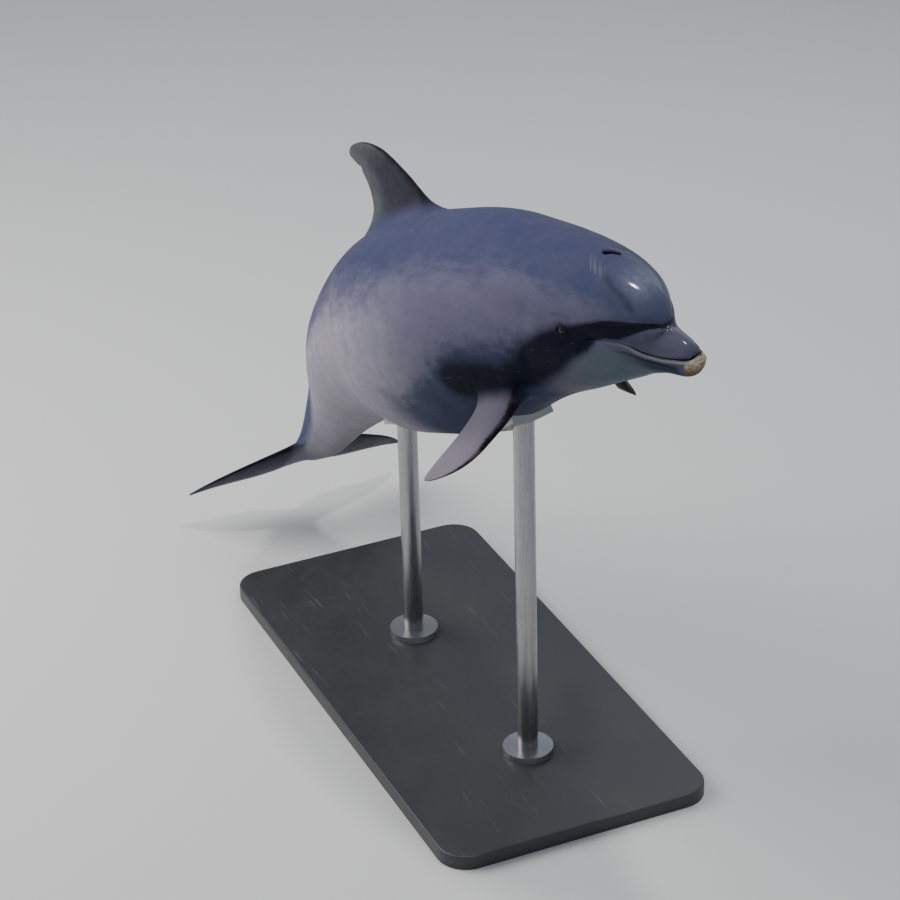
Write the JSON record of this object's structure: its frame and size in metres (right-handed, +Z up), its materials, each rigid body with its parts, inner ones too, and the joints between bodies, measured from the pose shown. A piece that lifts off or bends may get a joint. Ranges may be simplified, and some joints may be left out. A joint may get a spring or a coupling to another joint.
{
  "type": "bottlenose dolphin model on a stand",
  "caption": "Life-size dolphin caught in a leap, head turned and tail low, held above a flat rounded base by plain steel rods under the belly.",
  "frame": {"origin": "centre of the stand base's underside, where it rests on the floor", "axes": "+Z up, +X ahead of the dolphin's mid-body and along the base's long side, +Y to the dolphin's left"},
  "size_m": [1.9238, 0.66, 1.403],
  "materials": {
    "skin_back": "wet, dark blue-grey",
    "skin_flank": "wet, violet-grey",
    "skin_pale": "wet, pale grey",
    "eye": "glossy, nearly black",
    "rod_steel": "satin",
    "base_paint": "matt charcoal"
  },
  "bodies": {
    "root": {"upper_beak": "skin_flank", "lower_jaw": "skin_pale", "head": "skin_flank", "eye_left": "eye", "eye_right": "eye", "neck": "skin_flank", "chest": "skin_flank", "trunk": "skin_back", "loin": "skin_flank", "tail_stock_front": "skin_back", "tail_stock_rear": "skin_back", "dorsal_fin": "skin_back", "flipper_left": "skin_back", "flipper_right": "skin_back", "fluke_left": "skin_back", "fluke_right": "skin_back", "stand_base": "base_paint", "stand_rod_front": "rod_steel", "stand_rod_rear": "rod_steel"}
  },
  "joints": []
}
